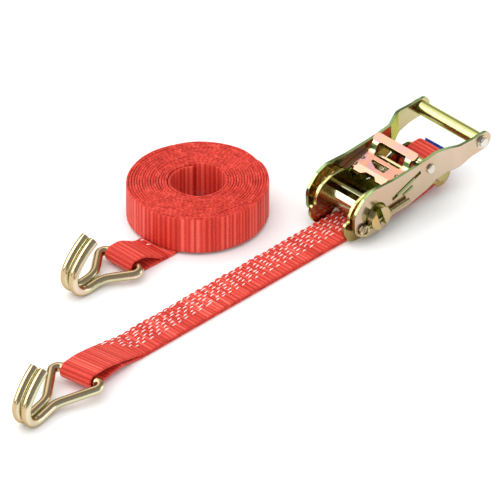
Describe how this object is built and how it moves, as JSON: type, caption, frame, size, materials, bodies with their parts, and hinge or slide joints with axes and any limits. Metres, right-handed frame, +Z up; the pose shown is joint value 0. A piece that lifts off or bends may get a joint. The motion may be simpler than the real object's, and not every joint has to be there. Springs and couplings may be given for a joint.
{
  "type": "ratchet tie down",
  "caption": "Ratchet tie down: a ratchet buckle on a short stitched strap and a long coiled strap, each strap ending in a double J wire hook.",
  "frame": {"origin": "middle of the whole outline, at the height of the floor it lies on", "axes": "+X from the short strap's hook towards the buckle's grip, +Y towards the coiled long strap, +Z up from the floor"},
  "size_m": [0.5614, 0.2088, 0.0553],
  "materials": {
    "zinc_plate": "yellow zinc plated",
    "bolt_zinc": "bright zinc plated",
    "spring_steel": "drawn",
    "webbing": "woven",
    "label": "woven"
  },
  "bodies": {
    "frame": {"frame_channel": "zinc_plate", "rear_pin": "bolt_zinc", "rear_sleeve": "zinc_plate", "frame_pawl_spring": "spring_steel"},
    "mandrel": {"mandrel_shaft_rear": "zinc_plate", "mandrel_shaft_front": "zinc_plate", "gear_left": "zinc_plate", "gear_right": "zinc_plate", "split_pin_left": "zinc_plate", "split_pin_right": "zinc_plate"},
    "handle": {"handle_plate_left": "zinc_plate", "handle_plate_right": "zinc_plate", "handle_spring_seat": "zinc_plate", "handle_spacer": "zinc_plate", "handle_rivet": "bolt_zinc", "grip_washers": "bolt_zinc", "grip_bolt": "bolt_zinc", "grip_nut": "bolt_zinc", "pull_spring": "spring_steel"},
    "pull_plate": {"pull_plate": "zinc_plate"},
    "frame_pawl": {"frame_pawl": "zinc_plate"},
    "grip": {"grip_tube": "zinc_plate"},
    "short_strap": {"short_strap": "webbing", "strap_label": "label"},
    "short_hook": {"short_hook": "zinc_plate"},
    "long_strap": {"long_strap_coil": "webbing", "long_strap_tail": "webbing"},
    "long_hook": {"long_hook": "zinc_plate"}
  },
  "joints": [
    {"name": "mandrel_spin", "type": "hinge", "parent": "frame", "child": "mandrel", "pos_m": [0.14761, -0.06154, 0.022], "axis": [0, 1, 0], "continuous": true},
    {"name": "handle_swing", "type": "hinge", "parent": "frame", "child": "handle", "pos_m": [0.14761, -0.06154, 0.022], "axis": [0, -1, 0], "range_deg": [0, 140]},
    {"name": "pull_plate_slide", "type": "slide", "parent": "handle", "child": "pull_plate", "axis": [0.9449, 0, 0.3272], "range_m": [0, 0.0075], "stiffness_N_per_m": 1200, "springref_m": -0.002, "deforming": ["pull_spring"]},
    {"name": "frame_pawl_slide", "type": "slide", "parent": "frame", "child": "frame_pawl", "axis": [0.9903, 0, -0.1392], "range_m": [0, 0.006], "stiffness_N_per_m": 800, "springref_m": -0.002, "deforming": ["frame_pawl_spring"]},
    {"name": "grip_spin", "type": "hinge", "parent": "handle", "child": "grip", "pos_m": [0.26961, -0.06154, 0.0448], "axis": [0, 1, 0], "continuous": true},
    {"name": "short_strap_swing", "type": "hinge", "parent": "frame", "child": "short_strap", "pos_m": [0.23611, -0.06154, 0.018], "axis": [0, -1, 0], "range_deg": [0, 180]},
    {"name": "short_hook_swing", "type": "hinge", "parent": "short_strap", "child": "short_hook", "pos_m": [-0.19327, -0.06989, 0.012], "axis": [-0.1478, 0.989, 0], "range_deg": [0, 60]},
    {"name": "long_strap_lift", "type": "slide", "parent": "frame", "child": "long_strap", "axis": [0, 0, 1], "range_m": [0, 0.2]},
    {"name": "long_hook_swing", "type": "hinge", "parent": "long_strap", "child": "long_hook", "pos_m": [-0.04139, 0.02946, 0.009], "axis": [0, 1, 0], "range_deg": [0, 60]}
  ]
}
